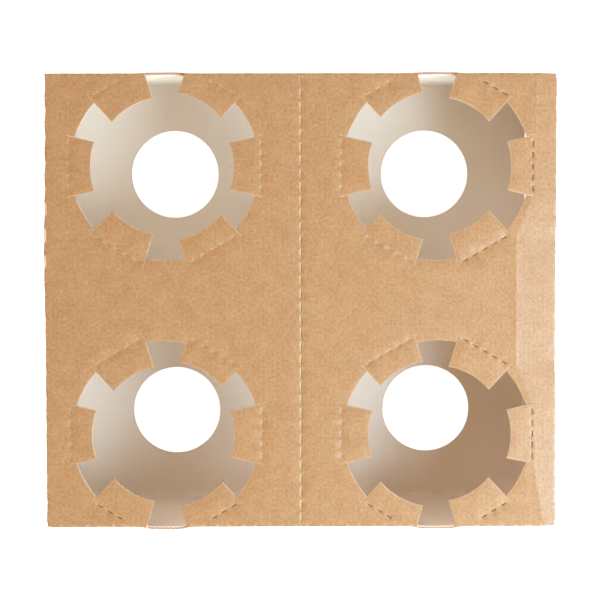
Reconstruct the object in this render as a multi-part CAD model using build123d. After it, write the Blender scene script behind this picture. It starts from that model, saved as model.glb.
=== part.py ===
from build123d import *
import os
from math import cos, floor, radians, sin, sqrt, tan

# A carrier for four paper cups, die-cut and folded from one sheet of corrugated
# board. Lengths are millimetres and angles are degrees. +X runs along the carrier,
# +Y to its back and +Z up. The origin is on the table, under the carrier's middle.

# The sheet
board = 1.2                # thickness of the corrugated board
fold_inner_radius = 0.4    # inside of every creased fold

# The sleeve: top panel, two walls and bottom panel, closed by a glue lap
carrier_height = 57.0      # table to top face
bottom_set_in = 5.5        # each end of the bottom panel, in from the end flaps' outer faces
wall_end_gap = 0.6         # from the walls' upper corners to the end flaps
lap_height = 20.0          # bottom panel's back edge, turned up and glued on

# The end flaps, hinged on the top panel's ends
flap_table_gap = 2.0       # from the flap's lower edge to the table
flap_side_relief = 0.5     # each side, in from the walls' outer faces
flap_side_taper = 2.0      # each side leans in towards the lower edge
flap_corner_radius = 6.0

# The cup openings in the top panel
notch_radius = 39.6        # floor of the notches between the tabs
long_tip_radius = 28.8     # every other tab reaches in to here
short_tip_radius = 31.2    # and the others to here
tabs_round = 6
hinge_setback = 0.7        # from the notch floor out to the tabs' straight hinges
tab_hinge_width = 25.5     # across the tab at its hinge
tab_side_angle = 12.8      # between a tab's side and its own middle line
side_cut_overrun = 0.6     # the side cuts end this far past the hinge

# The board left round the openings
end_margin = 10.2          # from the outermost hinges to the end flaps' outer faces
tear_margin = 16.7         # from the innermost hinges to the tear line
middle_margin = 16.85      # from the inner notch floors to the line between front and back
wall_set_in = 0.75         # the walls' outer faces lie this far inside the notch circles

# The perforations
knife_width = 0.3          # width of every slit
hinge_slits = 5            # along each tab's hinge
hinge_slit_pitch = 4.67
hinge_slit_length = 2.35
tear_slit_pitch = 5.58     # along the line that splits the carrier in two
tear_slit_length = 3.6
fold_slit_pitch = 11.0     # along the top panel's four folds
fold_slit_length = 5.4

# The holes in the bottom panel, one under each opening
base_hole_radius = 19.85
base_hole_set_in = 2.55    # each hole's centre, in from its opening's centre

fold_outer_radius = fold_inner_radius + board
tab_hinge_distance = notch_radius + hinge_setback
opening_pitch_x = 2 * (tab_hinge_distance + tear_margin)
opening_pitch_y = 2 * (notch_radius + middle_margin)
base_pitch_y = opening_pitch_y - 2 * base_hole_set_in
panel_length = opening_pitch_x + 2 * (tab_hinge_distance + end_margin)
sleeve_width = opening_pitch_y + 2 * (notch_radius - wall_set_in)
sleeve_shift = -board / 2  # the lap stands out at the back; the whole is centred
wall_outer = sleeve_width / 2
sleeve_top_length = panel_length - 2 * (board + wall_end_gap)
inner_width = sleeve_width - 2 * board
flat_half_width = wall_outer - fold_outer_radius
past = 5.0                 # how far a cutting shape reaches past what it cuts


def sleeve():
    """The closed tube of top, walls and bottom, with the lap outside the back wall."""
    middle = carrier_height / 2
    outside = Pos(sleeve_shift, middle) * Rectangle(sleeve_width, carrier_height)
    lap_middle = sleeve_shift + wall_outer + board / 2
    outside += Pos(lap_middle, lap_height / 2) * Rectangle(board, lap_height)
    folds = outside.vertices().group_by(Axis.Y)[0] + outside.vertices().group_by(Axis.Y)[-1]
    outside = fillet(folds, fold_outer_radius)
    inner_height = carrier_height - 2 * board
    inside = Pos(sleeve_shift, middle) * RectangleRounded(inner_width, inner_height, fold_inner_radius)
    tube = extrude(Plane.YZ * (outside - inside), sleeve_top_length / 2, both=True)
    return tube & sloping_ends()


def sloping_ends():
    """The block whose ends follow the walls' slope, from the top to the bottom panel."""
    top = sleeve_top_length / 2
    bottom = panel_length / 2 - bottom_set_in
    corners = [(-top, carrier_height), (top, carrier_height), (bottom, 0), (-bottom, 0)]
    side_view = make_face(Polyline(*corners, close=True))
    return extrude(Plane.XZ * side_view, wall_outer + past, both=True)


def end_flaps():
    """Top panel's full length with a flap folded down at each end."""
    drop = carrier_height - flap_table_gap
    middle = flap_table_gap + drop / 2
    outer = Pos(0, middle) * Rectangle(panel_length, drop)
    outer = fillet(outer.vertices().group_by(Axis.Y)[-1], fold_outer_radius)
    inner = Pos(0, middle - board) * Rectangle(panel_length - 2 * board, drop)
    inner = fillet(inner.vertices().group_by(Axis.Y)[-1], fold_inner_radius)
    folded = extrude(Plane.XZ * (outer - inner), flap_half_width(), both=True)
    end_view = extrude(Plane.YZ * flap_outline(drop), panel_length / 2 + past, both=True)
    return Pos(0, sleeve_shift, 0) * (folded & end_view)


def flap_half_width():
    return wall_outer - flap_side_relief


def flap_outline(drop):
    """End view of a flap: sides that lean in and two rounded lower corners."""
    upper = flap_half_width()
    lower = upper - drop * tan(radians(flap_side_taper))
    corners = [(-upper, carrier_height), (upper, carrier_height)]
    corners += [(lower, flap_table_gap), (-lower, flap_table_gap)]
    outline = make_face(Polyline(*corners, close=True))
    return fillet(outline.vertices().group_by(Axis.Y)[0], flap_corner_radius)


def tab_half_width(distance):
    """Half the tab's width at a distance from the opening's centre."""
    return tab_hinge_width / 2 - (tab_hinge_distance - distance) * tan(radians(tab_side_angle))


def tab(tip_radius):
    """One tab that points at the opening's centre, on the +X side, with a concave tip."""
    outer = notch_radius + past
    corners = [(0, -tab_half_width(0)), (outer, -tab_half_width(outer))]
    corners += [(outer, tab_half_width(outer)), (0, tab_half_width(0))]
    return make_face(Polyline(*corners, close=True)) - Circle(tip_radius)


def side_cut_start():
    """Distance along a tab's middle line at which its sides meet the notch floor."""
    slope = tan(radians(tab_side_angle))
    offset = tab_half_width(0)
    reach = sqrt(notch_radius**2 * (1 + slope**2) - offset**2)
    return (reach - slope * offset) / (1 + slope**2)


def side_cuts():
    """The slits that carry a tab's two sides on past the notch floor."""
    start = side_cut_start() - knife_width
    end = tab_hinge_distance + side_cut_overrun
    middle = (start + end) / 2
    length = (end - start) / cos(radians(tab_side_angle))
    slit = Pos(0, knife_width / 2) * Rectangle(length, knife_width)
    upper = Pos(middle, tab_half_width(middle)) * Rot(0, 0, tab_side_angle) * slit
    return [upper, upper.mirror(Plane.XZ)]


def opening(centre_x, centre_y):
    """Outline cut for one cup: a ring of tabs, notches between them and their side cuts."""
    wall_side = 1 if centre_y > 0 else -1
    long_tabs = 0 if centre_x < 0 else 1
    to_wall = wall_outer - abs(centre_y)
    mouth = Circle(notch_radius)
    mouth += Pos(0, wall_side * to_wall / 2) * Rectangle(long_tip_radius, to_wall + past)
    cuts = Sketch()
    for index in range(tabs_round):
        turn = Rot(0, 0, index * 360 / tabs_round)
        tip_radius = long_tip_radius if index % 2 == long_tabs else short_tip_radius
        mouth -= turn * tab(tip_radius)
        for slit in side_cuts():
            cuts += turn * slit
    return Pos(centre_x, centre_y + sleeve_shift) * (mouth + cuts)


def hinge_perforations(centre_x, centre_y):
    """The slits along each tab's hinge, as far as they lie on the flat top panel."""
    slits = []
    for index in range(tabs_round):
        angle = index * 360 / tabs_round
        for step in range(hinge_slits):
            offset = (step - (hinge_slits - 1) / 2) * hinge_slit_pitch
            outer_end = offset + hinge_slit_length / 2 * (1 if offset > 0 else -1)
            across = tab_hinge_distance * sin(radians(angle)) + outer_end * cos(radians(angle))
            if abs(centre_y + across) < flat_half_width:
                place = Pos(centre_x, centre_y + sleeve_shift) * Rot(0, 0, angle)
                place *= Pos(tab_hinge_distance, offset)
                slits.append(place * Rectangle(knife_width, hinge_slit_length))
    return slits


def tear_line(flat_length):
    """A row of slits centred on the middle of a flat stretch, along local Y."""
    count = floor((flat_length - tear_slit_length) / tear_slit_pitch + 1)
    rows = GridLocations(tear_slit_pitch, tear_slit_pitch, 1, count)
    return [place * Rectangle(knife_width, tear_slit_length) for place in rows]


def centres(pitch_x, pitch_y):
    return [(x * pitch_x / 2, y * pitch_y / 2) for x in (-1, 1) for y in (-1, 1)]


def top_cutters():
    """Everything cut down through the top panel and its folds."""
    depth = fold_outer_radius
    floor_plane = Plane.XY.offset(carrier_height - depth)
    cutters = []
    for x, y in centres(opening_pitch_x, opening_pitch_y):
        cutters.append(extrude(floor_plane * opening(x, y), depth + past))
        cutters += [extrude(floor_plane * slit, depth + past) for slit in hinge_perforations(x, y)]
    for slit in tear_line(inner_width):
        cutters.append(extrude(floor_plane * Pos(0, sleeve_shift) * slit, depth + past))
    return cutters


def bottom_cutters():
    """The round base holes and the tear line across the bottom panel."""
    floor_plane = Plane.XY.offset(-past)
    depth = past + board + fold_inner_radius
    cutters = []
    for x, y in centres(opening_pitch_x, base_pitch_y):
        hole = Pos(x, y + sleeve_shift) * Circle(base_hole_radius)
        cutters.append(extrude(floor_plane * hole, depth))
    for slit in tear_line(inner_width):
        cutters.append(extrude(floor_plane * Pos(0, sleeve_shift) * slit, depth))
    return cutters


def wall_cutters():
    """The tear line down both walls, through the lap as well."""
    flat_height = carrier_height - 2 * fold_outer_radius
    upright = Plane.XZ * Pos(0, carrier_height / 2)
    reach = wall_outer + past
    return [extrude(upright * slit, reach, both=True) for slit in tear_line(flat_height)]


def wall_fold_positions():
    """Along a wall's fold: an odd row of slits, with none beside the openings' notches."""
    reach = floor((sleeve_top_length - fold_slit_length) / 2 / fold_slit_pitch)
    row = [step * fold_slit_pitch for step in range(-reach, reach + 1)]
    return [x for x in row if abs(abs(x) - opening_pitch_x / 2) > tab_hinge_width / 2]


def end_fold_positions():
    """Along an end flap's fold: an even row of slits."""
    pairs = floor(flat_half_width / fold_slit_pitch)
    return [(step + 0.5) * fold_slit_pitch for step in range(-pairs, pairs)]


def fold_cutters():
    """The slits of the four folds, each cut square through the middle of the bend."""
    reach = fold_outer_radius + past
    slit = Pos(0, 0, reach / 2) * Box(fold_slit_length, knife_width, reach)
    bend_x = panel_length / 2 - fold_outer_radius
    bend_z = carrier_height - fold_outer_radius
    cutters = []
    for side in (-1, 1):
        for x in wall_fold_positions():
            place = Pos(x, sleeve_shift + side * flat_half_width, bend_z)
            cutters.append(place * Rot(-45 * side, 0, 0) * slit)
        for y in end_fold_positions():
            place = Pos(side * bend_x, sleeve_shift + y, bend_z)
            cutters.append(place * Rot(0, 45 * side, 0) * Rot(0, 0, 90) * slit)
    return cutters


def carrier():
    blank = sleeve() + end_flaps()
    return blank - top_cutters() - bottom_cutters() - wall_cutters() - fold_cutters()


os.makedirs("parts", exist_ok=True)
export_step(carrier(), "parts/carrier_board.step")
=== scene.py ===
import math

import bpy
import numpy as np
from mathutils.geometry import delaunay_2d_cdt
from mathutils.kdtree import KDTree
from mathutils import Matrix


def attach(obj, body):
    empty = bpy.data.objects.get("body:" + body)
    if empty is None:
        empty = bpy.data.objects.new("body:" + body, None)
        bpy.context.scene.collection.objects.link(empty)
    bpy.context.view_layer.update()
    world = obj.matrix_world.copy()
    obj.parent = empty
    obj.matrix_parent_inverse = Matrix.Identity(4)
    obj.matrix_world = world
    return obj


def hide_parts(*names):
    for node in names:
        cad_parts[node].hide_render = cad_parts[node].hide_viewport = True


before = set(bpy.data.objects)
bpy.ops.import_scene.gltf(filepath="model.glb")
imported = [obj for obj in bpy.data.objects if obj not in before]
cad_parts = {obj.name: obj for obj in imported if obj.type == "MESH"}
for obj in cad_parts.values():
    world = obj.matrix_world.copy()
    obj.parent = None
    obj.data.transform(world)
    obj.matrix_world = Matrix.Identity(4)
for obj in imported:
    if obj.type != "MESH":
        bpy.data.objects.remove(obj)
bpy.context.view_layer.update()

collection = bpy.context.scene.collection

# Perforations
# Rows of short slits that the die's perforating rule cuts through the board: the tear line across
# the middle, the tabs' hinges and the top panel's four folds. All sizes are millimetres on the flat
# sheet, where u runs along the carrier and v across it, from the middle of the top panel.
mm = 0.001
board = 1.2
carrier_height = 57.0
fold_inner_radius = 0.4
fold_outer_radius = fold_inner_radius + board
fold_arc = (fold_inner_radius + board / 2) * math.pi / 2
knife_width = 0.1
slit_width, wide_slit, tight_slit, open_slit = 0.14, 0.34, 0.06, 0.8

top_half = 93.7                     # flat half of the top panel, across
wall_flat = carrier_height - 2 * fold_outer_radius
wall_edge = top_half + fold_arc     # where a wall starts to be flat
bottom_front = wall_edge + wall_flat
bottom_start = bottom_front + fold_arc
bottom_flat = 188.66
lap_fold = bottom_start + bottom_flat
lap_start = lap_fold + fold_arc
end_fold = 105.9

cup_u, cup_v = 57.0, 56.45
tabs, tab_half, hinge_distance = 6, 12.75, 40.3
cups = [(side_u * cup_u, side_v * cup_v) for side_u in (-1, 1) for side_v in (-1, 1)]


def even_row(count, pitch):
    """Places in a row, a pitch apart and even about 0."""
    return [(step - (count - 1) / 2) * pitch for step in range(count)]


slits = []                          # u, v, turn from the v axis, length, width
tear_pitch, tear_length, tear_width = 5.58, 3.6, 0.24
panel_tears, wall_tears, lap_tear_heights = 34, 10, (9.0, 14.6)
wall_middle = wall_edge + wall_flat / 2
for offset in even_row(panel_tears, tear_pitch):
    slits.append((0.0, offset, 0.0, tear_length, tear_width))
    slits.append((0.0, offset - bottom_start - top_half, 0.0, tear_length, slit_width))
for offset in even_row(wall_tears, tear_pitch):
    slits.append((0.0, wall_middle + offset, 0.0, tear_length, slit_width))
    slits.append((0.0, -wall_middle + offset, 0.0, tear_length, slit_width))
for height in lap_tear_heights:
    slits.append((0.0, -lap_start - (height - fold_outer_radius), 0.0, tear_length, slit_width))

# The hinges bent a little open are those of the right-hand tabs of the right cups and of the front
# tabs of the front cups.
hinge_slits, hinge_pitch, hinge_length = 5, 4.67, 2.35
for centre_u, centre_v in cups:
    for tab in range(tabs):
        angle = tab * 2 * math.pi / tabs
        on_right = centre_u > 0 and math.cos(angle) > 0.4
        at_front = centre_v < 0 and math.sin(angle) < -0.4
        width = wide_slit if on_right or at_front else slit_width
        for offset in even_row(hinge_slits, hinge_pitch):
            reach = offset + math.copysign(hinge_length / 2, offset)
            across = centre_v + hinge_distance * math.sin(angle) + reach * math.cos(angle)
            if abs(across) < top_half:
                u = centre_u + hinge_distance * math.cos(angle) - offset * math.sin(angle)
                v = centre_v + hinge_distance * math.sin(angle) + offset * math.cos(angle)
                slits.append((u, v, angle, hinge_length, width))

# Three slits gape at the left end. Those of the back fold and most of the right one are pressed shut.
fold_slit, fold_pitch = 5.4, 11.0
wall_fold_slits, end_fold_slits = 19, 16
for side in (-1, 1):
    for offset in even_row(wall_fold_slits, fold_pitch):
        if abs(abs(offset) - cup_u) > tab_half:
            width = slit_width if side < 0 else tight_slit
            slits.append((offset, side * (top_half + fold_arc / 2), math.pi / 2, fold_slit, width))
    for offset in even_row(end_fold_slits, fold_pitch):
        left_width = open_slit if 10.0 < offset < 45.0 else slit_width
        right_width = slit_width if offset < -25.0 else tight_slit
        width = left_width if side < 0 else right_width
        slits.append((side * (end_fold + fold_arc / 2), offset, 0.0, fold_slit, width))


def new_tree(name, inputs):
    """A Geometry Nodes tree with a geometry in and out, and named inputs."""
    tree = bpy.data.node_groups.new(name, "GeometryNodeTree")
    for label, kind, value in [("Geometry", "NodeSocketGeometry", None)] + inputs:
        socket = tree.interface.new_socket(name=label, in_out="INPUT", socket_type=kind)
        if value is not None:
            socket.default_value = value
    tree.interface.new_socket(name="Geometry", in_out="OUTPUT", socket_type="NodeSocketGeometry")
    return tree


def put(tree, kind, feeds=None, **settings):
    """Adds a node, sets its options and fills its inputs with sockets or plain values."""
    node = tree.nodes.new(kind)
    for key, value in settings.items():
        setattr(node, key, value)
    for key, source in (feeds or {}).items():
        if isinstance(source, bpy.types.NodeSocket):
            tree.links.new(source, node.inputs[key])
        else:
            node.inputs[key].default_value = source
    return node


def calc(tree, operation, *values):
    """One Math node."""
    return put(tree, "ShaderNodeMath", dict(enumerate(values)), operation=operation).outputs[0]


def stored(tree, name, data_type="FLOAT"):
    """The values of an attribute that the mesh carries."""
    return put(tree, "GeometryNodeInputNamedAttribute", {"Name": name}, data_type=data_type).outputs[0]


def run_tree(holder, tree, values):
    """The plain mesh that a tree makes from an object."""
    modifier = holder.modifiers.new(tree.name, "NODES")
    modifier.node_group = tree
    for item in tree.interface.items_tree:
        if item.in_out == "INPUT" and item.name in values:
            modifier[item.identifier] = values[item.name]
    graph = bpy.context.evaluated_depsgraph_get()
    made = bpy.data.meshes.new_from_object(holder.evaluated_get(graph))
    holder.modifiers.remove(modifier)
    return made


kraft_paper = bpy.data.materials.new("kraft_liner")
white_paper = bpy.data.materials.new("white_liner")
fluting_paper = bpy.data.materials.new("fluting_medium")

knives = new_tree("perforating_knives", [("Paper", "NodeSocketMaterial", None)])
given = put(knives, "NodeGroupInput").outputs
blade = put(knives, "GeometryNodeMeshGrid", {
    "Size X": 1.0, "Size Y": 1.0, "Vertices X": 2, "Vertices Y": 2})
rotation = put(knives, "ShaderNodeCombineXYZ", {"Z": stored(knives, "turn")})
scale = put(knives, "ShaderNodeCombineXYZ", {
    "X": stored(knives, "width"), "Y": stored(knives, "length"), "Z": 1.0})
stamped = put(knives, "GeometryNodeInstanceOnPoints", {
    "Points": given["Geometry"], "Instance": blade.outputs["Mesh"],
    "Rotation": rotation.outputs[0], "Scale": scale.outputs[0]})
cut = put(knives, "GeometryNodeRealizeInstances", {0: stamped.outputs[0]})
cut = put(knives, "GeometryNodeSetMaterial", {"Geometry": cut.outputs[0], "Material": given["Paper"]})
put(knives, "NodeGroupOutput", {0: cut.outputs[0]})

rows = bpy.data.meshes.new("perforation_rows")
rows.from_pydata([(slit[0], slit[1], 0.0) for slit in slits], [], [])
for name, column in (("turn", 2), ("length", 3), ("width", 4)):
    values = [slit[column] for slit in slits]
    rows.attributes.new(name, "FLOAT", "POINT").data.foreach_set("value", values)
row_holder = bpy.data.objects.new("perforation_rows", rows)
collection.objects.link(row_holder)
knife_marks = run_tree(row_holder, knives, {"Paper": fluting_paper})
mark_points = np.array([vertex.co[:2] for vertex in knife_marks.vertices])
corners = mark_points.reshape(-1, 4, 2)[:, (0, 2, 3, 1)]
bpy.data.objects.remove(row_holder)

# Die-cut sheet
# One flat sheet of fine-flute board carries every panel: lap, bottom, front wall, top and back wall
# in a row, and an end flap on each end of the top. A flat die cuts its outline, the four cup
# openings with their tabs, and the four round base holes.
wall_end_top, wall_end_bottom, panel_end = 105.78, 102.0, 103.0
panel_shoulder = 3.0                # the panel's ends step out this far from its folds
flap_half, flap_taper = 95.2, math.tan(math.radians(1.2))
flap_flat, flap_above_table = 53.4, 2.0
flap_end = end_fold + fold_arc + flap_flat
flap_low_half = flap_half - (carrier_height - flap_above_table) * flap_taper
flap_corner = 6.0
corner_depth, corner_gap = 0.15, 0.05    # the cut that parts a flap from a wall
lap_height, lap_flare = 20.0, 1.3
lap_end = lap_start + lap_height - fold_outer_radius
above_panel = 0.05                  # the back wall ends this far over the bottom panel
back_wall_end = wall_edge + carrier_height - fold_outer_radius - board - above_panel

notch_radius, long_tip, short_tip = 39.6, 28.8, 31.2
tab_slope = math.tan(math.radians(12.8))
side_cut_end = 40.9
hole_radius, hole_v = 19.8, 53.9
hole_drift = {(-1, -1): (0.35, 0.43), (1, -1): (0.74, 0.0)}


def arc(centre_u, centre_v, radius, start, end, step=1.6):
    """Points along an arc, both ends included."""
    count = max(2, int(abs(end - start) * radius / step) + 1)
    angles = np.linspace(start, end, count)
    return [(centre_u + radius * math.cos(a), centre_v + radius * math.sin(a)) for a in angles]


def half_width(reach):
    """Half a tab's width, as far out from the cup's middle as reach."""
    return tab_half - (hinge_distance - reach) * tab_slope


def side_meets(radius):
    """How far out along its own middle line a tab's side crosses a circle round the cup."""
    base = half_width(0.0)
    root = math.sqrt(radius**2 * (1 + tab_slope**2) - base**2)
    return (root - tab_slope * base) / (1 + tab_slope**2)


cut_ends = []


def opening_outline(centre_u, centre_v, long_tabs):
    """Counter-clockwise outline of one cup opening, tab by tab."""
    wall_side = 1 if centre_v > 0 else -1
    wall_reach = wall_edge - abs(centre_v)
    floor_reach = side_meets(notch_radius)
    outline = []
    for tab in range(tabs):
        middle = tab * 2 * math.pi / tabs
        tip = long_tip if tab % 2 == long_tabs else short_tip
        tip_reach = side_meets(tip)

        def local(reach, side):
            """The sheet's u and v for a place out along the tab and aside from its middle line."""
            u = reach * math.cos(middle) - side * math.sin(middle)
            v = reach * math.sin(middle) + side * math.cos(middle)
            return (centre_u + u, centre_v + v)

        def side_points(side):
            """From the notch in to the tab's tip, along one side."""
            notch_middle = middle + side * math.pi / tabs
            if abs(math.sin(notch_middle) - wall_side) < 0.01:
                slope = side * tab_slope
                rise = wall_side * wall_reach - side * half_width(0.0) * math.cos(middle)
                reach = rise / (math.sin(middle) + slope * math.cos(middle))
                return [local(end, side * half_width(end)) for end in (reach, tip_reach)]
            steps = [(floor_reach, knife_width), (side_cut_end, knife_width)]
            steps += [(side_cut_end, 0.0), (tip_reach, 0.0)]
            cut_middle = side * (half_width(side_cut_end) + knife_width / 2)
            cut_ends.append(local(side_cut_end + 0.4, cut_middle))
            return [local(reach, side * (half_width(reach) + gap)) for reach, gap in steps]

        outline += side_points(-1)
        spread = math.atan2(half_width(tip_reach), tip_reach)
        outline += arc(centre_u, centre_v, tip, middle - spread, middle + spread)[1:-1]
        outline += side_points(1)[::-1]
        notch = middle + math.pi / tabs
        if abs(math.sin(notch) - wall_side) > 0.01:
            half_notch = math.pi / tabs - math.atan2(half_width(floor_reach) + knife_width, floor_reach)
            outline += arc(centre_u, centre_v, notch_radius, notch - half_notch, notch + half_notch)[1:-1]
    return outline


def wall_end(v):
    """Half the length of a wall, which narrows from the top panel down."""
    return float(np.interp(abs(v), (top_half, bottom_start), (wall_end_top, wall_end_bottom)))


def right_half_outline():
    """The sheet's edge on its +u side, from the lap's end to the back wall's end."""
    fold_steps = [fold_arc * k / 8 for k in range(9)]
    edge = [(wall_end_bottom + lap_flare, -lap_end)]
    edge += [(wall_end_bottom, -lap_start + step) for step in fold_steps]
    edge += [(panel_end, -lap_fold + panel_shoulder), (panel_end, -bottom_start - panel_shoulder)]
    for fold_end in (-bottom_start, -wall_edge):
        edge += [(wall_end(fold_end + step), fold_end + step) for step in fold_steps]
    cut_u, cut_v = end_fold - corner_gap, top_half - corner_depth
    edge += [(wall_end_top, -cut_v), (cut_u, -cut_v)]
    corner_v = flap_low_half - flap_corner
    narrowing = (flap_half - flap_low_half) / (fold_arc + flap_flat - flap_corner)
    flap_steps = [-corner_gap] + fold_steps
    flap_side = [(end_fold + step, flap_half - narrowing * step) for step in flap_steps]
    edge += [(u, -v) for u, v in flap_side]
    edge += arc(flap_end - flap_corner, -corner_v, flap_corner, -math.pi / 2, 0.0)
    edge += arc(flap_end - flap_corner, corner_v, flap_corner, 0.0, math.pi / 2)
    edge += flap_side[::-1]
    edge += [(cut_u, cut_v), (wall_end_top, cut_v)]
    edge += [(wall_end(top_half + step), top_half + step) for step in fold_steps]
    edge += [(wall_end(back_wall_end), back_wall_end)]
    return edge


def with_steps(outline, step):
    """A closed outline with extra points on its long runs."""
    filled = []
    for (u0, v0), (u1, v1) in zip(outline, outline[1:] + outline[:1]):
        count = max(1, math.ceil(math.hypot(u1 - u0, v1 - v0) / step))
        filled += [(u0 + (u1 - u0) * k / count, v0 + (v1 - v0) * k / count) for k in range(count)]
    return filled


right_edge = right_half_outline()
left_edge = [(-u, v) for u, v in reversed(right_edge)]
sheet_edge = with_steps(right_edge + left_edge, 2.0)
rim_loops = [with_steps(opening_outline(u, v, 0 if u < 0 else 1), 1.8) for u, v in cups]
for side_u in (-1, 1):
    for side_v in (-1, 1):
        drift_u, drift_v = hole_drift.get((side_u, side_v), (0.0, 0.0))
        middle_u = side_u * cup_u + drift_u
        middle_v = -bottom_start - top_half - side_v * hole_v + drift_v
        rim_loops.append(arc(middle_u, middle_v, hole_radius, 0.0, 2 * math.pi, 1.3)[:-1])
slit_loops = [[tuple(point) for point in quad] for quad in corners]

INSIDE, RIM, SLIT = 0, 1, 2
points, kinds, gaps, edges = [], [], [], []
cut_loops = [(RIM, 0.0, loop) for loop in [sheet_edge] + rim_loops]
cut_loops += [(SLIT, slit[4], loop) for slit, loop in zip(slits, slit_loops)]
for kind, gap, loop in cut_loops:
    first = len(points)
    points += loop
    kinds += [kind] * len(loop)
    gaps += [gap] * len(loop)
    edges += [(first + k, first + (k + 1) % len(loop)) for k in range(len(loop))]

lip_width, tear_lip, tear_back, lip_end = 0.5, 0.85, 0.35, 0.25
for u, v, turn_angle, slit_length, width in slits:
    left_lip, right_lip = (tear_lip, tear_back) if u == 0.0 else (lip_width, lip_width)
    for across, along in ((-1, -1), (-1, 0), (-1, 1), (0, 1.1), (1, 1), (1, 0), (1, -1), (0, -1.1)):
        side = across * (width / 2 + (left_lip if across < 0 else right_lip))
        run = along * (slit_length / 2 + lip_end)
        points.append((u + side * math.cos(turn_angle) - run * math.sin(turn_angle),
                       v + side * math.sin(turn_angle) + run * math.cos(turn_angle)))
        kinds.append(INSIDE)


def add_inner(candidates, clearance):
    """Keeps the candidates that lie clear of every point laid so far."""
    laid = KDTree(len(points))
    for index, (u, v) in enumerate(points):
        laid.insert((u, v, 0.0), index)
    laid.balance()
    for u, v in candidates:
        if laid.find((u, v, 0.0))[2] > clearance:
            points.append((u, v))
            kinds.append(INSIDE)


def beside(loop, distance):
    """Points set off to the left of a closed loop, for its pressed-down edge."""
    places = np.array(loop)
    run = np.roll(places, -1, 0) - np.roll(places, 1, 0)
    run /= np.linalg.norm(run, axis=1)[:, None]
    return (places + distance * np.stack([-run[:, 1], run[:, 0]], 1)).tolist()


edge_press = 0.45
add_inner(cut_ends, 0.1)
add_inner(beside(sheet_edge, edge_press), 0.25)
for loop in rim_loops:
    add_inner(beside(loop, -edge_press), 0.25)
fold_rows = [-wall_edge, top_half, -bottom_start, -lap_start]
for start in fold_rows:
    for k in range(9):
        v = start + fold_arc * k / 8
        reach = wall_end(v) - 0.5
        add_inner([(u, v) for u in np.linspace(-reach, reach, 135)], 0.16)
for side in (-1, 1):
    for k in range(9):
        u = side * (end_fold + fold_arc * k / 8)
        add_inner([(u, v) for v in np.linspace(-94.6, 94.6, 127)], 0.16)
crease_y = [-95.9, -69.8, -44.3, -27.2, 26.6, 43.0, 68.0, 72.0, 95.0]
crease_x = [102.2, 98.0, 97.3, 90.4, 90.4, 97.3, 97.4, 98.5, 98.6]
for aside in (-2.9, -1.9, -1.0, -0.35, 0.0, 0.35, 1.2, 2.4):
    add_inner([(np.interp(v, crease_y, crease_x) + aside, v) for v in np.arange(-93.0, 93.1, 1.7)], 0.3)
fold_bands = [start + fold_arc / 2 for start in fold_rows]
grid = 4.6
field = []
for row, v in enumerate(np.arange(-lap_end, back_wall_end, grid * 0.87)):
    for u in np.arange(-flap_end + (row % 2) * grid / 2, flap_end, grid):
        clear_of_folds = min(abs(v - band) for band in fold_bands) > 1.8
        if clear_of_folds and abs(abs(u) - end_fold - fold_arc / 2) > 1.8:
            field.append((u, v))
add_inner(field, 1.9)

flat_points, flat_edges, faces, came_from, edge_from, _ = delaunay_2d_cdt(points, edges, [], 0, 1e-5)
flat = np.array([(point[0], point[1]) for point in flat_points])
kind_of = np.array([max((kinds[k] for k in source), default=INSIDE) for source in came_from])
gap_of = np.zeros(len(flat))
for ends, source in zip(flat_edges, edge_from):
    for cut in source:
        for k in ends:
            kind_of[k] = max(kind_of[k], kinds[edges[cut][0]])
            gap_of[k] = max(gap_of[k], gaps[edges[cut][0]])
triangles = np.array([face for face in faces if len(face) == 3])


def lies_in(loop, places):
    """Which places lie inside a closed loop, by counting crossings."""
    loop = np.array(loop)
    inside = np.zeros(len(places), bool)
    low, high = loop.min(0), loop.max(0)
    near = np.flatnonzero(((places >= low) & (places <= high)).all(1))
    u, v = places[near].T
    crossings = np.zeros(len(near), int)
    for (u0, v0), (u1, v1) in zip(loop, np.roll(loop, -1, 0)):
        spans = (v0 > v) != (v1 > v)
        if spans.any():
            crossings += spans & (u < (u1 - u0) * (v - v0) / (v1 - v0 + 1e-30) + u0)
    inside[near] = crossings % 2 == 1
    return inside


a, b, c = (flat[triangles[:, k]] for k in range(3))
area = np.cross(b - a, c - a)
triangles[area < 0] = triangles[area < 0][:, ::-1]
triangles = triangles[np.abs(area) > 1e-7]
middles = flat[triangles].mean(1)
kept = lies_in(sheet_edge, middles)
gapes = np.zeros(len(triangles), bool)
for _, gap, loop in cut_loops[1:]:
    in_loop = lies_in(loop, middles)
    kept &= ~in_loop
    gapes |= in_loop & (gap == open_slit)
pocket = triangles[gapes]
triangles = triangles[kept]

# Corrugated board
# Two smooth papers, brown kraft outside and white inside, are glued to a waved sheet between them.
# The flutes are 2 mm apart and run across the carrier, so a cut edge shows them as a wavy line set
# in a groove between the two papers. Each perforating knife leaves a pressed-down lip.
liner = 0.2
groove = 0.4
flute_pitch = 2.0
lip_depth, fold_lip_depth, edge_round, lip_step = 0.25, 0.08, 0.07, 0.03
pocket_depth = 0.35                 # of the slits that gape
wedge_share = 0.62                  # of a slit's width, by which each side leans in and shuts it below

count = len(flat)
directed = np.concatenate([triangles[:, (0, 1)], triangles[:, (1, 2)], triangles[:, (2, 0)]])
keys = directed[:, 0] * count + directed[:, 1]
border = directed[~np.isin(keys, directed[:, 1] * count + directed[:, 0])]
run = flat[border[:, 1]] - flat[border[:, 0]]
run /= np.linalg.norm(run, axis=1)[:, None] + 1e-12
into_board = np.stack([-run[:, 1], run[:, 0]], 1)
inward = np.zeros((count, 2))
for column in (0, 1):
    np.add.at(inward, border[:, column], into_board)
inward /= np.linalg.norm(inward, axis=1)[:, None] + 1e-12

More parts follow.
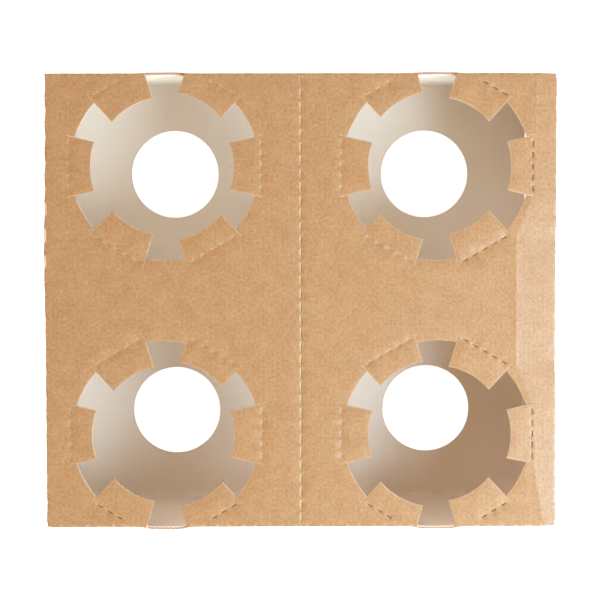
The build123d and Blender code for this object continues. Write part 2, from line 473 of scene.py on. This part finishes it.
used = np.unique(triangles)
on_border = np.zeros(count, bool)
on_border[border.ravel()] = True
rim = np.flatnonzero(on_border & (kind_of == RIM))
slot = np.flatnonzero(on_border & (kind_of != RIM))

shell_points, shell_faces, shell_ply = [], [], []
KRAFT, WHITE, MEDIUM = 0, 1, 2


def add_layer(members, height, inset=0.0):
    """Adds a copy of some sheet points at a height and gives the new number of each."""
    number = np.full(count, -1)
    number[members] = len(shell_points) + np.arange(len(members))
    place = flat[members] + inward[members] * inset
    heights = np.broadcast_to(height, len(members))
    shell_points.extend((u * mm, v * mm, h * mm) for (u, v), h in zip(place, heights))
    return number


top_heights = np.full(len(used), board)
beyond_top = (np.abs(flat[used, 0]) > end_fold) | (np.abs(flat[used, 1]) > top_half)
top_heights[np.isin(used, slot)] -= lip_depth
top_heights[np.isin(used, slot) & beyond_top] += lip_depth - fold_lip_depth
top_heights[np.isin(used, rim)] -= edge_round
top = add_layer(used, top_heights)
under = np.union1d(used, pocket)
wedge = np.where(gap_of[under] < open_slit, -wedge_share * gap_of[under], 0.0)
bottom = add_layer(under, 0.0, wedge[:, None])
slot_top = add_layer(slot, top_heights[np.isin(used, slot)] - lip_step)
pocket_floor = add_layer(np.unique(pocket), board - pocket_depth)
rings = [top, add_layer(rim, board - liner), add_layer(rim, board - liner, groove),
         add_layer(rim, liner, groove), add_layer(rim, liner), bottom]
ring_plies = [KRAFT, KRAFT, MEDIUM, WHITE, WHITE]

shell_faces += top[triangles].tolist() + bottom[triangles[:, ::-1]].tolist()
shell_ply += [KRAFT] * len(triangles) + [WHITE] * len(triangles)
shell_faces += pocket_floor[pocket].tolist() + bottom[pocket[:, ::-1]].tolist()
shell_ply += [WHITE] * (2 * len(pocket))
is_rim = (kind_of[border] == RIM).all(1)
for start, end in border[is_rim]:
    for upper, lower, ply in zip(rings, rings[1:], ring_plies):
        shell_faces.append((upper[end], upper[start], lower[start], lower[end]))
        shell_ply.append(ply)
for start, end in border[~is_rim]:
    gaping = pocket_floor[start] >= 0 and pocket_floor[end] >= 0
    beneath = pocket_floor if gaping else bottom
    for upper, lower in ((top, slot_top), (slot_top, beneath)):
        shell_faces.append((upper[end], upper[start], lower[start], lower[end]))
        shell_ply.append(KRAFT)

solid_count = len(shell_points)
line = add_layer(rim, board / 2, groove / 2 + 0.05)
line_edges = [(line[start], line[end]) for start, end in border[is_rim]]

sheet = bpy.data.meshes.new("carrier_sheet")
sheet.from_pydata(shell_points, [(int(s), int(e)) for s, e in line_edges], shell_faces)
sheet.attributes.new("ply", "INT", "FACE").data.foreach_set("value", np.array(shell_ply, np.int32))
is_line = np.arange(len(shell_points)) >= solid_count

# How far each point takes the paper's paler torn colour: 0 is none, 1 and more is all. Some of it
# is torn paper, and some is painted highlight and painted light, as said at each place.
wear_and_highlight = np.zeros(len(shell_points), np.float32)
# The slits' lips are painted paler: partly torn fibres, partly painted highlight where a lip catches the
# light. The wide, bent-open hinge slits, which lie in shade, get little.
wear_and_highlight[top[slot]] = np.where(gap_of[slot] == wide_slit, 0.1, 0.5)
# The tear line's left lips, which face the light, are painted much paler than its right ones: painted
# highlight.
on_tear = (np.abs(flat[slot, 0]) < 0.2) & (np.abs(flat[slot, 1]) < 93.0)
wear_and_highlight[top[slot[on_tear]]] = np.where(flat[slot[on_tear], 0] < 0.0, 1.15, 0.2)
# The floors of the gaping slits are white paper, painted brighter still as painted light coming through
# the gaps.
wear_and_highlight[pocket_floor[np.unique(pocket)]] = 1.5
# Every cut edge is painted paler along its top as a painted highlight, and the front wall's top edge in
# the front notches most.
wear_and_highlight[top[rim]] = np.where(np.abs(flat[rim, 1] + wall_edge) < 0.2, 1.4, 0.5)
sheet.attributes.new("wear_and_highlight", "FLOAT", "POINT").data.foreach_set("value", wear_and_highlight)
sheet.attributes.new("flute_line", "BOOLEAN", "POINT").data.foreach_set("value", is_line)

# Folds
# Creases turn the flat sheet into a sleeve with a flap at each end. Every fold turns ninety degrees
# round a small radius on the white side, and the lap is glued to the outside of the back wall.


def vector(tree, operation, feeds):
    """One Vector Math node."""
    return put(tree, "ShaderNodeVectorMath", feeds, operation=operation).outputs


def store(tree, geometry, name, value, data_type, domain="POINT"):
    """Writes an attribute on a geometry."""
    feeds = {"Geometry": geometry, "Name": name, "Value": value}
    node = put(tree, "GeometryNodeStoreNamedAttribute", feeds, data_type=data_type, domain=domain)
    return node.outputs[0]


folding = new_tree("fold_over_a_line", [
    ("Selection", "NodeSocketBool", True), ("Line", "NodeSocketFloat", 0.0),
    ("Direction", "NodeSocketVector", (1.0, 0.0, 0.0)), ("Inner Radius", "NodeSocketFloat", 0.0),
    ("Board", "NodeSocketFloat", 0.0)])
given = put(folding, "NodeGroupInput").outputs
position = put(folding, "GeometryNodeInputPosition").outputs[0]
past_line = vector(folding, "DOT_PRODUCT", {0: position, 1: given["Direction"]})["Value"]
reach = calc(folding, "SUBTRACT", past_line, given["Line"])
height = put(folding, "ShaderNodeSeparateXYZ", {0: position}).outputs["Z"]
middle_radius = calc(folding, "MULTIPLY_ADD", given["Board"], 0.5, given["Inner Radius"])
arc_length = calc(folding, "MULTIPLY", middle_radius, math.pi / 2)
bent = calc(folding, "MINIMUM", calc(folding, "MAXIMUM", reach, 0.0), arc_length)
turned = calc(folding, "DIVIDE", bent, middle_radius)
rest = calc(folding, "SUBTRACT", reach, bent)
radius = calc(folding, "ADD", height, given["Inner Radius"])
sine, cosine = calc(folding, "SINE", turned), calc(folding, "COSINE", turned)
new_reach = calc(folding, "MULTIPLY_ADD", radius, sine, calc(folding, "MULTIPLY", rest, cosine))
drop = calc(folding, "MULTIPLY_ADD", rest, sine, given["Inner Radius"])
new_height = calc(folding, "SUBTRACT", calc(folding, "MULTIPLY", radius, cosine), drop)
forward = vector(folding, "SCALE", {
    0: given["Direction"], "Scale": calc(folding, "SUBTRACT", new_reach, reach)})[0]
upward = put(folding, "ShaderNodeCombineXYZ", {"Z": calc(folding, "SUBTRACT", new_height, height)})
shift = vector(folding, "ADD", {0: forward, 1: upward.outputs[0]})[0]
moved = put(folding, "GeometryNodeSetPosition", {
    "Geometry": given["Geometry"], "Selection": given["Selection"], "Offset": shift})
put(folding, "NodeGroupOutput", {0: moved.outputs[0]})

lengths = {
    "Board": board, "Inner Radius": fold_inner_radius, "Flute Pitch": flute_pitch, "Flute Height": 0.3,
    "Flute Step": 0.44, "Flute Depth": groove, "Flute Paper Thickness": 0.2, "Lap Fold": lap_fold,
    "Bottom Fold": bottom_front, "Top Fold": top_half, "End Fold": end_fold, "Sleeve Shift": -board / 2,
    "Lift": carrier_height - board}
making = new_tree("corrugated_carrier",
                  [(name, "NodeSocketFloat", length * mm) for name, length in lengths.items()]
                  + [(name, "NodeSocketMaterial", None) for name in ("Kraft", "White", "Fluting")])
given = put(making, "NodeGroupInput").outputs
split = put(making, "GeometryNodeSeparateGeometry", {
    "Geometry": given["Geometry"], "Selection": stored(making, "flute_line", "BOOLEAN")}, domain="POINT")
curve = put(making, "GeometryNodeMeshToCurve", {"Mesh": split.outputs[0]})
fine = put(making, "GeometryNodeResampleCurve", {
    "Curve": curve.outputs[0], "Length": given["Flute Step"]}, mode="LENGTH")
line_place = put(making, "GeometryNodeInputPosition").outputs[0]
along_u = put(making, "ShaderNodeSeparateXYZ", {0: line_place}).outputs["X"]
phase = calc(making, "MULTIPLY", calc(making, "DIVIDE", along_u, given["Flute Pitch"]), 2 * math.pi)
wave = calc(making, "MULTIPLY", calc(making, "SINE", phase), given["Flute Height"])
waved = put(making, "GeometryNodeSetPosition", {
    "Geometry": fine.outputs[0], "Offset": put(making, "ShaderNodeCombineXYZ", {"Z": wave}).outputs[0]})
upright = put(making, "GeometryNodeSetCurveNormal", {"Curve": waved.outputs[0]}, mode="Z_UP")
strip = put(making, "GeometryNodeCurvePrimitiveQuadrilateral", {
    "Width": given["Flute Depth"], "Height": given["Flute Paper Thickness"]})
ribbon = put(making, "GeometryNodeCurveToMesh", {
    "Curve": upright.outputs[0], "Profile Curve": strip.outputs[0]}).outputs[0]
ribbon = store(making, ribbon, "ply", MEDIUM, "INT", "FACE")
ribbon = store(making, ribbon, "wear_and_highlight", 1.3, "FLOAT")
joined = put(making, "GeometryNodeJoinGeometry", {0: ribbon})
making.links.new(split.outputs[1], joined.inputs[0])
here = put(making, "GeometryNodeInputPosition").outputs[0]
shape = store(making, joined.outputs[0], "sheet_place", here, "FLOAT_VECTOR")
beside_flap = calc(making, "ABSOLUTE", put(making, "ShaderNodeSeparateXYZ", {0: here}).outputs["X"])
in_sleeve = calc(making, "LESS_THAN", beside_flap, calc(making, "SUBTRACT", given["End Fold"], 0.1 * mm))
to_back, to_front, to_right, to_left = (0, 1, 0), (0, -1, 0), (1, 0, 0), (-1, 0, 0)
for line_name, direction, selection in (
        ("Top Fold", to_back, in_sleeve), ("Lap Fold", to_front, True), ("Bottom Fold", to_front, True),
        ("Top Fold", to_front, in_sleeve), ("End Fold", to_right, True), ("End Fold", to_left, True)):
    fold = put(making, "GeometryNodeGroup", node_tree=folding)
    making.links.new(shape, fold.inputs["Geometry"])
    making.links.new(given[line_name], fold.inputs["Line"])
    making.links.new(given["Inner Radius"], fold.inputs["Inner Radius"])
    making.links.new(given["Board"], fold.inputs["Board"])
    fold.inputs["Direction"].default_value = direction
    if selection is not True:
        making.links.new(selection, fold.inputs["Selection"])
    shape = fold.outputs[0]
stand = put(making, "ShaderNodeCombineXYZ", {"Y": given["Sleeve Shift"], "Z": given["Lift"]}).outputs[0]
shape = put(making, "GeometryNodeSetPosition", {"Geometry": shape, "Offset": stand}).outputs[0]
shape = put(making, "GeometryNodeRealizeInstances", {0: shape}).outputs[0]
ply = stored(making, "ply", "INT")
for number, label in ((KRAFT, "Kraft"), (WHITE, "White"), (MEDIUM, "Fluting")):
    chosen = put(making, "FunctionNodeCompare", {
        "A": ply, "B": number}, data_type="INT", operation="EQUAL")
    shape = put(making, "GeometryNodeSetMaterial", {
        "Geometry": shape, "Selection": chosen.outputs[0], "Material": given[label]}).outputs[0]
put(making, "NodeGroupOutput", {0: shape})

holder = bpy.data.objects.new("sheet_holder", sheet)
collection.objects.link(holder)
papers = {"Kraft": kraft_paper, "White": white_paper, "Fluting": fluting_paper}
carrier_mesh = run_tree(holder, making, papers)
bpy.data.objects.remove(holder)
carrier_mesh.name = "corrugated_carrier"

# Set of the folded board
# Folded by hand, the board isn't quite true: its folds bulge at their slits, the strip outside the
# right-hand tabs slopes away from a soft crease, and the right flap leans in at its front corner.
size = len(carrier_mesh.vertices)
buffer = np.empty(size * 3, np.float32)
carrier_mesh.vertices.foreach_get("co", buffer)
body = buffer.reshape(-1, 3).astype(float) / mm
carrier_mesh.attributes["sheet_place"].data.foreach_get("vector", buffer)
place = buffer.reshape(-1, 3).astype(float) / mm
x, y, z = body.T.copy()
u, v, w = place.T


def eased(value, low, high):
    """Rises smoothly from 0 at low to 1 at high."""
    t = np.clip((value - low) / (high - low), 0.0, 1.0)
    return t * t * (3 - 2 * t)


# Creased board is squarer outside than a round arc.
squareness = 0.85
top_folds = [(v, top_half, y + board / 2, 0, 1), (-v, top_half, -y - board / 2, 0, -1)]
end_folds = [(u, end_fold, x, 1, 0), (-u, end_fold, -x, -1, 0)]
for across, line, forward, along_x, along_y in top_folds + end_folds:
    angle = np.clip((across - line) / fold_arc, 0.0, 1.0) * math.pi / 2
    squared = squareness * (1.0 / np.maximum(np.cos(angle), np.sin(angle)) - 1.0) * w / board
    squared *= (across > line) & (across < line + fold_arc) & (np.abs(forward - line) < 3.0)
    squared *= (np.abs(u) < end_fold) | (line == end_fold)
    radius = fold_inner_radius + w
    x += along_x * radius * squared * np.sin(angle)
    y += along_y * radius * squared * np.sin(angle)
    z += radius * squared * np.cos(angle)

# The end folds wave between their slits, and the left one swells at mid-length.
below_top = carrier_height - z
near_end = np.exp(-(below_top / 7.0) ** 2) * np.exp(-((107.5 - np.abs(x)) / 3.5) ** 2)
ripple = np.cos(2 * np.pi * (y - 51.0) / 11.05)
left_size = 0.09 + 0.12 * eased(y, 30.0, 50.0)
left_swell = 0.45 * np.exp(-((y - 18.0) / 20.0) ** 2)
x += np.where(u < 0, -(left_size * ripple + left_swell), 0.03 * ripple) * near_end

# So do the folds of the walls, more gently.
edge_y = np.abs(y + board / 2)
near_wall = np.exp(-(below_top / 6.0) ** 2) * np.exp(-((95.3 - edge_y) / 3.0) ** 2)
wall_ripple = np.cos(2 * np.pi * x / 11.0) + 0.5 * np.sin(2 * np.pi * x / 37.0)
y += np.sign(y) * 0.04 * wall_ripple * near_wall * (np.abs(v) < bottom_front)

# The walls bulge near the top, most where a notch breaks their fold.
rim_height = np.exp(-(below_top / 8.0) ** 2)
notch_window = np.exp(-((np.abs(u) - cup_u) / 9.5) ** 6)
near_front_fold = np.exp(-((95.3 + y + board / 2) / 5.0) ** 2) * (y < 0.0)
y -= (0.25 + 0.3 * eased(x, -100.0, 105.0)) * near_front_fold * rim_height
in_walls = eased(np.abs(v), top_half + 0.2, wall_edge)
in_walls *= (np.abs(u) < end_fold) * (np.abs(v) < bottom_front)
y -= in_walls * (v < 0.0) * (0.3 + 1.2 * notch_window) * rim_height
y += in_walls * (v > 0.0) * 0.5 * notch_window * rim_height
x += 0.45 * eased(y, 20.0, 90.0) * rim_height * (u < -end_fold)

# The strip right of the crease falls away, and the crease itself stands up a little.
right_of_crease = x - np.interp(y, crease_y, crease_x)
between_tabs = eased(26.6 - np.abs(y), -6.0, 0.0)
near_front = eased(-y, 44.0, 60.0)
rise = (0.05 + 0.11 * between_tabs + 0.05 * near_front) * np.exp(-np.abs(right_of_crease) / 1.6)
fall = (0.09 + 0.025 * between_tabs + 0.015 * near_front) * np.clip(right_of_crease, 0.0, None)
z += (rise * (right_of_crease < 3.0) - fall) * eased(z, 20.0, 56.0) * (u > 85.0)

# The flaps lean in, so that their lower edges stand just over the bottom panel's ends.
flap_lean = 3.9
hang = np.clip((carrier_height - z) / 55.0, 0.0, 1.0)
right_lean = flap_lean * (1.0 - eased(y, -18.0, 32.0)) + 1.5 * eased(y, 42.0, 76.0)
x -= np.where(u > end_fold + fold_arc / 2, right_lean * hang, 0.0)
x += np.where(u < -end_fold - fold_arc / 2, flap_lean * hang, 0.0)

# Each tab is a little up or down. The two beside the right end stand up.
for centre_u, centre_v in cups:
    for tab in range(tabs):
        angle = tab * 2 * math.pi / tabs
        reach = (u - centre_u) * math.cos(angle) + (v - centre_v) * math.sin(angle)
        side = -(u - centre_u) * math.sin(angle) + (v - centre_v) * math.cos(angle)
        in_tab = (reach > 25.0) & (reach < hinge_distance) & (np.abs(side) < half_width(reach) + 0.01)
        lift = 0.012 * math.sin(1.7 * tab + 0.031 * centre_u + 0.05 * centre_v)
        if tab == 0 and centre_u > 0:
            lift = 0.085 if centre_v < 0 else 0.065
        z += np.where(in_tab & (np.abs(v) < top_half), lift * (hinge_distance - reach), 0.0)

# Handling has rounded the two corners at the right end.
for side_y, corner_y, rounding in ((1, 94.7, 1.3), (-1, 95.9, 0.9)):
    past_x = np.clip(x - (107.5 - rounding), 0.0, None)
    past_y = np.clip(side_y * y - (corner_y - rounding), 0.0, None)
    too_far = np.maximum(np.hypot(past_x, past_y) / rounding, 1.0)
    in_corner = (past_x > 0.0) & (past_y > 0.0) & (z > 50.0)
    x -= np.where(in_corner, past_x * (1.0 - 1.0 / too_far), 0.0)
    y -= np.where(in_corner, side_y * past_y * (1.0 - 1.0 / too_far), 0.0)

# Inside the fold between the front wall and the bottom, the white paper is crinkled, and its ridge
# is painted paler: partly the broken liner, partly painted highlight.
fold_centre = -(bottom_front + fold_arc / 2)
ridge = np.exp(-((v - fold_centre) / 1.1) ** 2) * (w < 0.1)
crinkle = 0.55 + 0.25 * np.sin(2 * np.pi * u / 17.0) + 0.2 * np.sin(2 * np.pi * u / 7.3 + 1.0)
y += 0.8 * ridge * crinkle
z += 0.9 * ridge * crinkle
# The ridge's paler colour is partly broken liner and partly painted highlight.
wear_and_highlight_share = np.empty(size, np.float32)
carrier_mesh.attributes["wear_and_highlight"].data.foreach_get("value", wear_and_highlight_share)
wear_and_highlight_share += 1.4 * ridge * crinkle
carrier_mesh.attributes["wear_and_highlight"].data.foreach_set("value", wear_and_highlight_share.astype(np.float32))

carrier_mesh.vertices.foreach_set("co", (np.stack([x, y, z], 1) * mm).astype(np.float32).ravel())
carrier_mesh.update()
carrier_mesh.shade_smooth()
carrier_mesh.set_sharp_from_angle(angle=math.radians(42.0))
carrier = bpy.data.objects.new("corrugated_carrier", carrier_mesh)
collection.objects.link(carrier)

# Papers
# The outside is unbleached kraft with short fibres, soft blotches and a few dark specks. The inside
# is a matt white paper, through which the flutes show as fine straight lines.


def srgb(red, green, blue):
    """A colour as it looks on screen, turned into the linear values that a shader takes."""
    shares = [channel / 255 for channel in (red, green, blue)]
    linear = [s / 12.92 if s <= 0.04 else ((s + 0.055) / 1.055) ** 2.4 for s in shares]
    return (*linear, 1.0)


def new_effect(name, inputs, outputs):
    """A shader node group with named inputs and outputs."""
    tree = bpy.data.node_groups.new(name, "ShaderNodeTree")
    for label, kind, value in inputs:
        socket = tree.interface.new_socket(name=label, in_out="INPUT", socket_type=kind)
        socket.default_value = value
    for label, kind in outputs:
        tree.interface.new_socket(name=label, in_out="OUTPUT", socket_type=kind)
    return tree


fibres = new_effect("paper_fibres", [("Scale", "NodeSocketFloat", 1.0)],
                    [(name, "NodeSocketFloat") for name in
                     ("Blotches", "Fibres", "Specks", "Flutes", "Wear And Highlight", "Grain", "Tint")])
given = put(fibres, "NodeGroupInput").outputs
where = put(fibres, "ShaderNodeAttribute", attribute_name="sheet_place").outputs["Vector"]
where = vector(fibres, "SCALE", {0: where, "Scale": 1.0 / mm})[0]
fitted = vector(fibres, "SCALE", {0: where, "Scale": given["Scale"]})[0]


def noise(scale, detail, place=fitted, **more):
    """Soft noise over the sheet, with its scale in changes per millimetre."""
    feeds = {"Vector": place, "Scale": scale, "Detail": detail, **more}
    return put(fibres, "ShaderNodeTexNoise", feeds).outputs[0]


blotch = noise(0.16, 4.0, Roughness=0.6)
grain = noise(0.85, 3.0, Roughness=0.6)
tint = noise(0.45, 3.0, Roughness=0.6, Distortion=0.4)
layers = []
for turn_degrees, seed in ((18.0, 3.0), (-37.0, 11.0), (78.0, 23.0)):
    turned_place = put(fibres, "ShaderNodeMapping", {
        "Vector": fitted, "Location": (seed, seed, seed), "Rotation": (0, 0, math.radians(turn_degrees)),
        "Scale": (2.9, 0.25, 1.0)}, vector_type="TEXTURE")
    layers.append(noise(1.0, 2.0, turned_place.outputs[0]))
fibre_sum = calc(fibres, "ADD", calc(fibres, "ADD", layers[0], layers[1]), layers[2])
fibre_mix = calc(fibres, "MULTIPLY", fibre_sum, 1 / 3)
speck_cells = put(fibres, "ShaderNodeTexVoronoi", {"Vector": fitted, "Scale": 0.055, "Randomness": 1.0})
speck_size = noise(0.9, 1.0)
speck_edge = calc(fibres, "MULTIPLY", speck_size, 0.035)
speck = calc(fibres, "LESS_THAN", speck_cells.outputs["Distance"], speck_edge)
stripe_place = put(fibres, "ShaderNodeSeparateXYZ", {0: where}).outputs["X"]
stripe = calc(fibres, "SINE", calc(fibres, "MULTIPLY", stripe_place, 2 * math.pi / flute_pitch))
# The share of paler torn colour, varied by a noise: torn paper in places, painted highlight and painted
# light in others.
wear_and_highlight_share = put(fibres, "ShaderNodeAttribute", attribute_name="wear_and_highlight").outputs["Fac"]
wear_and_highlight_share = calc(fibres, "MULTIPLY", wear_and_highlight_share, calc(fibres, "MULTIPLY_ADD", speck_size, 0.8, 0.35))
put(fibres, "NodeGroupOutput", dict(enumerate([blotch, fibre_mix, speck, stripe, wear_and_highlight_share, grain, tint])))


def mixed(tree, amount, first, second, blend="MIX"):
    """One Mix node for colours."""
    feeds = {0: amount, 6: first, 7: second}
    return put(tree, "ShaderNodeMix", feeds, data_type="RGBA", blend_type=blend).outputs[2]


def paper(material, pale, dark, tints, speck_colour, torn_and_highlight, contrast,
          stripe_shade, roughness, bump, specular):
    """Gives a material one paper's colours, its show-through lines and its bumps."""
    material.use_nodes = True
    tree = material.node_tree
    tree.nodes.clear()
    effect = put(tree, "ShaderNodeGroup", node_tree=fibres).outputs
    fibre_share = calc(tree, "MULTIPLY", effect["Fibres"], 0.15)
    mask = calc(tree, "MULTIPLY_ADD", effect["Grain"], 0.6, fibre_share)
    mask = calc(tree, "MULTIPLY_ADD", effect["Blotches"], 0.25, mask)
    mask = put(tree, "ShaderNodeMapRange", {
        "Value": mask, "From Min": 0.5 - contrast, "From Max": 0.5 + contrast}).outputs[0]
    colour = mixed(tree, mask, dark, pale)
    hue = put(tree, "ShaderNodeMapRange", {"Value": effect["Tint"], "From Min": 0.3, "From Max": 0.7})
    colour = mixed(tree, 1.0, colour, mixed(tree, hue.outputs[0], *tints), "MULTIPLY")
    shaded = calc(tree, "MULTIPLY_ADD", effect["Flutes"], stripe_shade, 1.0 - stripe_shade)
    colour = mixed(tree, 1.0, colour, shaded, "MULTIPLY")
    colour = mixed(tree, calc(tree, "MULTIPLY", effect["Specks"], 0.55), colour, speck_colour)
    # Mixes in the paler torn colour: torn paper, and also painted highlight and painted light.
    colour = mixed(tree, effect["Wear And Highlight"], colour, torn_and_highlight)
    relief = calc(tree, "MULTIPLY", effect["Flutes"], 0.012)
    relief = calc(tree, "MULTIPLY_ADD", effect["Fibres"], 0.05, relief)
    relief = calc(tree, "MULTIPLY_ADD", effect["Blotches"], 0.06, relief)
    bumped = put(tree, "ShaderNodeBump", {"Height": relief, "Distance": mm, "Strength": bump})
    rough = calc(tree, "MULTIPLY_ADD", effect["Fibres"], 0.25, roughness - 0.125)
    shader = put(tree, "ShaderNodeBsdfPrincipled", {
        "Base Color": colour, "Roughness": rough, "Normal": bumped.outputs[0],
        "Specular IOR Level": specular})
    put(tree, "ShaderNodeOutputMaterial", {"Surface": shader.outputs[0]})


warm_to_cool = ((1.0, 0.93, 0.85, 1.0), (0.95, 1.0, 1.0, 1.0))
no_tint = ((1.0, 1.0, 1.0, 1.0), (1.0, 1.0, 1.0, 1.0))
# Each paper's torn colour is also the colour of its painted highlights and painted light.
paper(kraft_paper, pale=srgb(188, 150, 109), dark=srgb(160, 117, 76), tints=warm_to_cool,
      speck_colour=srgb(80, 52, 30), torn_and_highlight=srgb(214, 184, 142), contrast=0.16, stripe_shade=0.004,
      roughness=0.44, bump=0.6, specular=0.5)
paper(white_paper, pale=srgb(244, 233, 219), dark=srgb(240, 227, 212), tints=no_tint,
      speck_colour=srgb(180, 160, 135), torn_and_highlight=srgb(255, 247, 236), contrast=0.25, stripe_shade=0.008,
      roughness=0.80, bump=0.28, specular=0.3)
paper(fluting_paper, pale=srgb(216, 172, 142), dark=srgb(200, 154, 124), tints=no_tint,
      speck_colour=srgb(92, 62, 38), torn_and_highlight=srgb(226, 202, 172), contrast=0.2, stripe_shade=0.0,
      roughness=0.85, bump=0.4, specular=0.2)

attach(carrier, "root")
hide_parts("carrier_board")

# Studio
# A white sweep under the carrier, a soft lamp to the right, a large low one in front, a weak one
# behind on the left, and a plain warm surround that fills the shadows.
floor_mesh = bpy.data.meshes.new("studio_floor")
floor_half = 3.0
floor_corners = [(floor_half * i, floor_half * j, 0) for i, j in ((-1, -1), (1, -1), (1, 1), (-1, 1))]
floor_mesh.from_pydata(floor_corners, [], [(0, 1, 2, 3)])
floor = bpy.data.objects.new("studio_floor", floor_mesh)
floor.location.z = -0.2 * mm
collection.objects.link(floor)
floor_paint = bpy.data.materials.new("white_sweep")
floor_paint.use_nodes = True
tree = floor_paint.node_tree
tree.nodes.clear()
rays = put(tree, "ShaderNodeLightPath").outputs
seen = calc(tree, "MAXIMUM", rays["Is Camera Ray"], rays["Is Glossy Ray"])
seen = calc(tree, "MAXIMUM", seen, rays["Is Transmission Ray"])
glow = put(tree, "ShaderNodeEmission", {
    "Color": (1, 1, 1, 1), "Strength": calc(tree, "MULTIPLY", seen, 0.86)})
matt = put(tree, "ShaderNodeBsdfDiffuse", {"Color": (0.8, 0.8, 0.8, 1)})
both = put(tree, "ShaderNodeAddShader", {0: glow.outputs[0], 1: matt.outputs[0]})
put(tree, "ShaderNodeOutputMaterial", {"Surface": both.outputs[0]})
floor_mesh.materials.append(floor_paint)

world = bpy.context.scene.world or bpy.data.worlds.new("surround")
bpy.context.scene.world = world
world.use_nodes = True
tree = world.node_tree
tree.nodes.clear()
rays = put(tree, "ShaderNodeLightPath").outputs
seen = calc(tree, "MAXIMUM", rays["Is Camera Ray"], rays["Is Transmission Ray"])
ambient = put(tree, "ShaderNodeBackground", {"Color": (1.0, 0.65, 0.38, 1), "Strength": 0.57})
backdrop = put(tree, "ShaderNodeBackground", {"Color": (1, 1, 1, 1), "Strength": 1.0})
shown = put(tree, "ShaderNodeMixShader", {0: seen, 1: ambient.outputs[0], 2: backdrop.outputs[0]})
put(tree, "ShaderNodeOutputWorld", {"Surface": shown.outputs[0]})


def soft_lamp(name, place, aim, size, power, colour):
    """A square lamp at a place, turned towards a point."""
    data = bpy.data.lights.new(name, "AREA")
    data.shape, data.size, data.energy, data.color = "SQUARE", size, power, colour
    lamp = bpy.data.objects.new(name, data)
    lamp.location = place
    away = lamp.location - type(lamp.location)(aim)
    lamp.rotation_euler = away.to_track_quat("Z", "Y").to_euler()
    collection.objects.link(lamp)


half_way_up = (0.0, 0.0, 0.03)
soft_lamp("key_lamp", (0.46, -0.18, 0.48), half_way_up, 0.4, 6.7, (0.61, 0.82, 1.0))
soft_lamp("front_fill", (0.0, -1.2, 0.45), half_way_up, 0.8, 16.6, (0.73, 0.93, 1.0))
soft_lamp("back_fill", (-0.7, 0.7, 0.6), half_way_up, 0.8, 4.5, (1.0, 0.88, 0.92))

camera_data = bpy.data.cameras.new("overhead_camera")
camera_data.sensor_width = 36.0
camera_data.lens = 86.18
camera_data.shift_y = -0.09
camera_data.clip_start, camera_data.clip_end = 0.01, 50.0
camera = bpy.data.objects.new("overhead_camera", camera_data)
camera.location = (-0.006062, 0.043782, 0.659258)
camera.rotation_euler = tuple(math.radians(a) for a in (-2.036, -0.533, -0.119))
collection.objects.link(camera)
bpy.context.scene.camera = camera
bpy.context.scene.view_settings.view_transform = "Standard"
